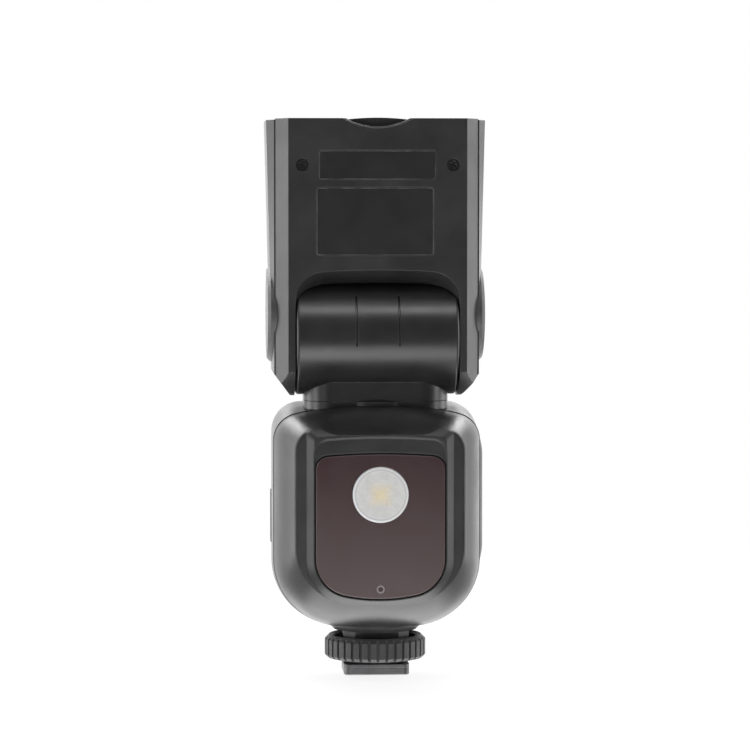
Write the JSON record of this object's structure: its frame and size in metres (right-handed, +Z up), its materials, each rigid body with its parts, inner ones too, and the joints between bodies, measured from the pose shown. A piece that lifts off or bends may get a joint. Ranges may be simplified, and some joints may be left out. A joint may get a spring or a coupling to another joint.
{
  "type": "speedlight flash",
  "caption": "Shoe-mount camera flash with a tilting, turning head, battery body, lamp window and a foot with a screw lock.",
  "frame": {"origin": "centre of the underside of the shoe foot", "axes": "+Z up along the turning axis of the neck, -Y towards the side with the lamp window, +X to the left of the flash seen from its operator's side at +Y"},
  "size_m": [0.0622, 0.0514, 0.1589],
  "materials": {
    "shell_plastic": "fine-grained moulded black plastic",
    "barrel_plastic": "smooth satin black plastic",
    "trim_plastic": "glossy black plastic",
    "window_plastic": "polished dark infrared-pass acrylic",
    "clear_lens": "clear moulded prism lens",
    "lamp_lens": "clear domed lamp lens",
    "foot_metal": "satin plated die-cast metal",
    "contact_gold": "gold-plated contact",
    "insulator": "black insulating plastic",
    "ring_plastic": "ribbed black plastic",
    "steel": "bright steel",
    "black_screw": "black-plated screw",
    "label_dark": "blank dark label",
    "board": "green circuit board",
    "can": "sleeved capacitor can",
    "bay_plastic": "moulded inner tray",
    "battery_plastic": "black battery case",
    "lcd_glass": "display window",
    "lcd_cell": "display cell",
    "flap_rubber": "soft black rubber",
    "key_rubber": "grey-black key",
    "reflector_metal": "mirror-finished reflector",
    "tube_glass": "flash tube",
    "diffuser": "clear diffuser panel",
    "card_white": "white card"
  },
  "bodies": {
    "body": {"shoe_foot": "foot_metal", "contact_block": "insulator", "foot_nut": "steel", "foot_mount": "shell_plastic", "front_cover": "shell_plastic", "mid_frame": "shell_plastic", "rear_housing": "shell_plastic", "window_panel": "window_plastic", "led_lens": "lamp_lens", "led_board": "card_white", "focus_emitter": "trim_plastic", "main_board": "board", "capacitor": "can", "battery_bay": "bay_plastic", "lcd_window": "lcd_glass", "lcd_module": "lcd_cell", "body_screws": "black_screw", "sync_jack": "steel", "usb_socket": "steel", "neck_plinth": "barrel_plastic"},
    "centre_contact": {"centre_contact": "contact_gold"},
    "data_contacts": {"data_contacts": "contact_gold"},
    "lock_pin": {"lock_pin": "steel"},
    "clamp": {"clamp_plate": "foot_metal"},
    "ring": {"lock_ring": "ring_plastic"},
    "battery": {"battery_case": "battery_plastic", "battery_cover": "shell_plastic"},
    "latch": {"battery_latch": "trim_plastic"},
    "flap": {"port_flap": "flap_rubber"},
    "dial": {"control_dial": "ring_plastic"},
    "set_key": {"set_button": "key_rubber"},
    "test_key": {"test_button": "key_rubber"},
    "switch": {"power_switch": "trim_plastic"},
    "neck": {"neck_front": "barrel_plastic", "neck_rear": "barrel_plastic", "swivel_spigot": "steel", "swivel_retainer": "steel", "tilt_bushes": "bay_plastic"},
    "head": {"head_lower_shell": "shell_plastic", "head_upper_shell": "shell_plastic", "hinge_cap_left": "barrel_plastic", "hinge_cap_right": "barrel_plastic", "tilt_shafts": "steel", "lens_frame": "trim_plastic", "fresnel_lens": "clear_lens", "name_label": "label_dark", "rating_label": "label_dark", "head_screws": "black_screw", "zoom_motor": "steel", "guide_rod": "steel"},
    "screw": {"lead_screw": "steel"},
    "carriage": {"zoom_carriage": "bay_plastic", "reflector": "reflector_metal", "flash_tube": "tube_glass"},
    "wide_panel": {"wide_panel": "diffuser"},
    "bounce_card": {"bounce_card": "card_white"},
    "menu_key_1": {"menu_button_1": "key_rubber"},
    "menu_key_2": {"menu_button_2": "key_rubber"},
    "menu_key_3": {"menu_button_3": "key_rubber"},
    "menu_key_4": {"menu_button_4": "key_rubber"}
  },
  "joints": [
    {"name": "centre_contact_press", "type": "slide", "parent": "body", "child": "centre_contact", "axis": [0, 0, 1], "range_m": [0, 0.0005], "stiffness_N_per_m": 150, "springref_m": -0.0005},
    {"name": "data_contacts_press", "type": "slide", "parent": "body", "child": "data_contacts", "axis": [0, 0, 1], "range_m": [0, 0.0005], "stiffness_N_per_m": 150, "springref_m": -0.0005},
    {"name": "lock_pin_press", "type": "slide", "parent": "body", "child": "lock_pin", "axis": [0, 0, 1], "range_m": [0, 0.0012], "stiffness_N_per_m": 150, "springref_m": -0.0005},
    {"name": "clamp_lift", "type": "slide", "parent": "body", "child": "clamp", "axis": [0, 0, 1], "range_m": [0, 0.0018]},
    {"name": "ring_turn", "type": "hinge", "parent": "clamp", "child": "ring", "pos_m": [0, 0, 0.0075], "axis": [0, 0, 1], "range_deg": [0, 270]},
    {"name": "battery_slide", "type": "slide", "parent": "body", "child": "battery", "axis": [1, 0, 0], "range_m": [0, 0.04]},
    {"name": "latch_slide", "type": "slide", "parent": "battery", "child": "latch", "axis": [0, 0, -1], "range_m": [0, 0.0012], "stiffness_N_per_m": 150, "springref_m": -0.0005},
    {"name": "flap_hinge", "type": "hinge", "parent": "body", "child": "flap", "pos_m": [-0.0294, 0.01325, 0.044], "axis": [0, 0, -1], "range_deg": [0, 100]},
    {"name": "dial_turn", "type": "hinge", "parent": "body", "child": "dial", "pos_m": [0, 0.022, 0.0283], "axis": [0, 1, 0], "continuous": true},
    {"name": "set_press", "type": "slide", "parent": "body", "child": "set_key", "axis": [0, -1, 0], "range_m": [0, 0.0006], "stiffness_N_per_m": 150},
    {"name": "test_press", "type": "slide", "parent": "body", "child": "test_key", "axis": [0, -1, 0], "range_m": [0, 0.0006], "stiffness_N_per_m": 150},
    {"name": "power_slide", "type": "slide", "parent": "body", "child": "switch", "axis": [0, 0, 1], "range_m": [0, 0.0034]},
    {"name": "pan", "type": "hinge", "parent": "body", "child": "neck", "pos_m": [0, 0, 0.0778], "axis": [0, 0, 1], "range_deg": [-180, 180]},
    {"name": "tilt", "type": "hinge", "parent": "neck", "child": "head", "pos_m": [0, 0, 0.0956], "axis": [1, 0, 0], "range_deg": [0, 97]},
    {"name": "lead_turn", "type": "hinge", "parent": "head", "child": "screw", "pos_m": [0.0242, 0.00375, 0.13], "axis": [0, 0, 1], "range_deg": [0, 1172]},
    {"name": "zoom_slide", "type": "slide", "parent": "head", "child": "carriage", "axis": [0, 0, -1], "range_m": [0, 0.0065]},
    {"name": "wide_panel_pull", "type": "slide", "parent": "head", "child": "wide_panel", "axis": [0, 0, 1], "range_m": [0, 0.034]},
    {"name": "bounce_card_pull", "type": "slide", "parent": "head", "child": "bounce_card", "axis": [0, 0, 1], "range_m": [0, 0.034]},
    {"name": "menu_press_1", "type": "slide", "parent": "body", "child": "menu_key_1", "axis": [0, -1, 0], "range_m": [0, 0.0006], "stiffness_N_per_m": 150},
    {"name": "menu_press_2", "type": "slide", "parent": "body", "child": "menu_key_2", "axis": [0, -1, 0], "range_m": [0, 0.0006], "stiffness_N_per_m": 150},
    {"name": "menu_press_3", "type": "slide", "parent": "body", "child": "menu_key_3", "axis": [0, -1, 0], "range_m": [0, 0.0006], "stiffness_N_per_m": 150},
    {"name": "menu_press_4", "type": "slide", "parent": "body", "child": "menu_key_4", "axis": [0, -1, 0], "range_m": [0, 0.0006], "stiffness_N_per_m": 150}
  ],
  "couplings": [
    {"joint": "clamp_lift", "follows": "ring_turn", "m_per_rad": 0.00038},
    {"joint": "lead_turn", "follows": "zoom_slide", "rad_per_m": 3141.6}
  ]
}
